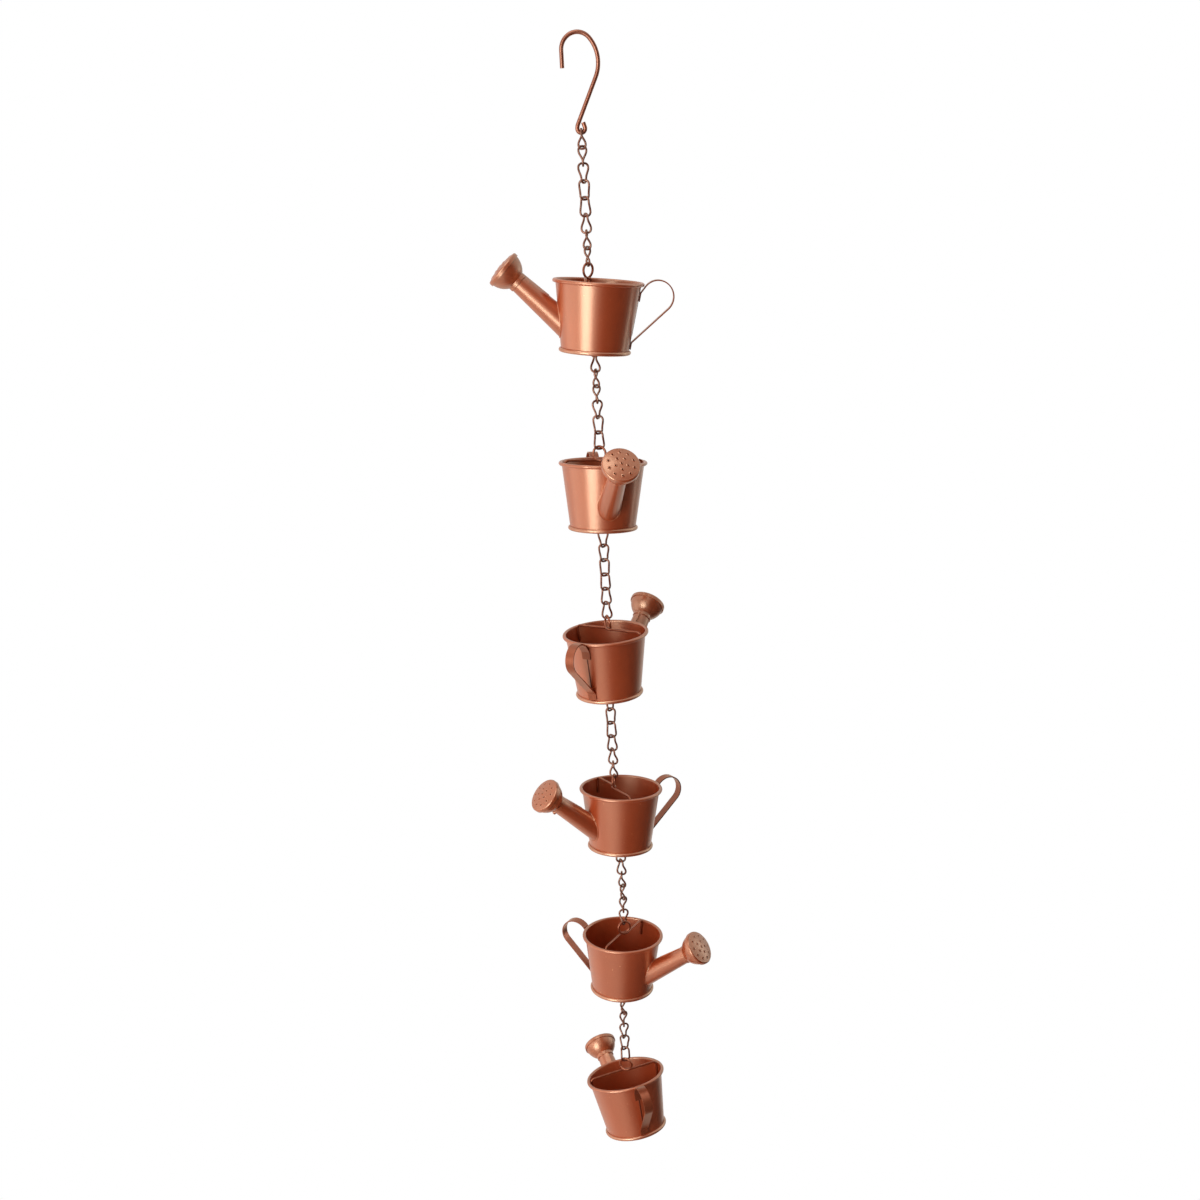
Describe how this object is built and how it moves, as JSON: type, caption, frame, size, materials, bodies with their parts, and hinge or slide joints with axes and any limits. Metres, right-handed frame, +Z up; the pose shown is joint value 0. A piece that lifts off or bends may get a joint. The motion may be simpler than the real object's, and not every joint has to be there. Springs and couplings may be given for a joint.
{
  "type": "rain chain",
  "caption": "Hanging rain chain of copper-coloured miniature watering cans on twisted-link chain under a wire hook; water runs from can to can.",
  "frame": {"origin": "inside of the hook's crown, where it bears on what it hangs from", "axes": "+Z up along the chain, the hook bent in the XZ plane with its tip towards -X"},
  "size_m": [0.1631, 0.1654, 0.9905],
  "materials": {
    "sheet": "bright copper, faintly brushed",
    "spout": "bright copper, faintly brushed",
    "rose": "bright copper, faintly brushed",
    "strap": "bright copper, faintly brushed",
    "can_wire": "copper wire, smooth",
    "chain_wire": "copper wire, darker",
    "hook_wire": "copper wire, smooth"
  },
  "bodies": {
    "hook": {"hanging_hook": "hook_wire"},
    "chain_1": {"chain_run_1": "chain_wire"},
    "can_1": {"can_1_hanger": "can_wire", "can_1_wall": "sheet", "can_1_base": "sheet", "can_1_spout": "spout", "can_1_rose_cup": "rose", "can_1_rose_face": "rose", "can_1_handle": "strap", "can_1_base_eye": "can_wire"},
    "chain_2": {"chain_run_2": "chain_wire"},
    "can_2": {"can_2_hanger": "can_wire", "can_2_wall": "sheet", "can_2_base": "sheet", "can_2_spout": "spout", "can_2_rose_cup": "rose", "can_2_rose_face": "rose", "can_2_handle": "strap", "can_2_base_eye": "can_wire"},
    "chain_3": {"chain_run_3": "chain_wire"},
    "can_3": {"can_3_hanger": "can_wire", "can_3_wall": "sheet", "can_3_base": "sheet", "can_3_spout": "spout", "can_3_rose_cup": "rose", "can_3_rose_face": "rose", "can_3_handle": "strap", "can_3_base_eye": "can_wire"},
    "chain_4": {"chain_run_4": "chain_wire"},
    "can_4": {"can_4_hanger": "can_wire", "can_4_wall": "sheet", "can_4_base": "sheet", "can_4_spout": "spout", "can_4_rose_cup": "rose", "can_4_rose_face": "rose", "can_4_handle": "strap", "can_4_base_eye": "can_wire"},
    "chain_5": {"chain_run_5": "chain_wire"},
    "can_5": {"can_5_hanger": "can_wire", "can_5_wall": "sheet", "can_5_base": "sheet", "can_5_spout": "spout", "can_5_rose_cup": "rose", "can_5_rose_face": "rose", "can_5_handle": "strap", "can_5_base_eye": "can_wire"},
    "chain_6": {"chain_run_6": "chain_wire"},
    "can_6": {"can_6_hanger": "can_wire", "can_6_wall": "sheet", "can_6_base": "sheet", "can_6_spout": "spout", "can_6_rose_cup": "rose", "can_6_rose_face": "rose", "can_6_handle": "strap"}
  },
  "joints": [
    {"name": "chain_1_swing", "type": "hinge", "parent": "hook", "child": "chain_1", "pos_m": [0, 0, -0.07171], "axis": [1, 0, 0], "range_deg": [-20, 20]},
    {"name": "can_1_swing", "type": "hinge", "parent": "chain_1", "child": "can_1", "pos_m": [0, 0, -0.17281], "axis": [-0.7677, 0.6409, 0], "range_deg": [-15, 15]},
    {"name": "chain_2_swing", "type": "hinge", "parent": "can_1", "child": "chain_2", "pos_m": [0.00177, 0.00031, -0.24518], "axis": [-1, 0, 0], "range_deg": [-20, 20]},
    {"name": "can_2_swing", "type": "hinge", "parent": "chain_2", "child": "can_2", "pos_m": [0.00177, 0.00031, -0.32148], "axis": [0.6804, 0.7328, 0], "range_deg": [-15, 15]},
    {"name": "chain_3_swing", "type": "hinge", "parent": "can_2", "child": "chain_3", "pos_m": [0.00109, 0.00208, -0.39354], "axis": [0.1724, -0.985, 0], "range_deg": [-20, 20]},
    {"name": "can_3_swing", "type": "hinge", "parent": "chain_3", "child": "can_3", "pos_m": [0.00109, 0.00208, -0.46984], "axis": [0.8966, 0.4429, 0], "range_deg": [-15, 15]},
    {"name": "chain_4_swing", "type": "hinge", "parent": "can_3", "child": "chain_4", "pos_m": [-0.0001, -0.00012, -0.54178], "axis": [0.515, 0.8572, 0], "range_deg": [-20, 20]},
    {"name": "can_4_swing", "type": "hinge", "parent": "chain_4", "child": "can_4", "pos_m": [-0.0001, -0.00012, -0.61808], "axis": [-0.9958, 0.0912, 0], "range_deg": [-15, 15]},
    {"name": "chain_5_swing", "type": "hinge", "parent": "can_4", "child": "chain_5", "pos_m": [0.00255, 0.00157, -0.69022], "axis": [-0.8746, -0.4848, 0], "range_deg": [-20, 20]},
    {"name": "can_5_swing", "type": "hinge", "parent": "chain_5", "child": "can_5", "pos_m": [0.00255, 0.00157, -0.76652], "axis": [-0.103, 0.9947, 0], "range_deg": [-15, 15]},
    {"name": "chain_6_swing", "type": "hinge", "parent": "can_5", "child": "chain_6", "pos_m": [-0.00259, 0.00452, -0.83808], "axis": [0.8829, -0.4695, 0], "range_deg": [-20, 20]},
    {"name": "can_6_swing", "type": "hinge", "parent": "chain_6", "child": "can_6", "pos_m": [-0.00259, 0.00452, -0.91438], "axis": [0.2445, 0.9697, 0], "range_deg": [-15, 15]}
  ]
}
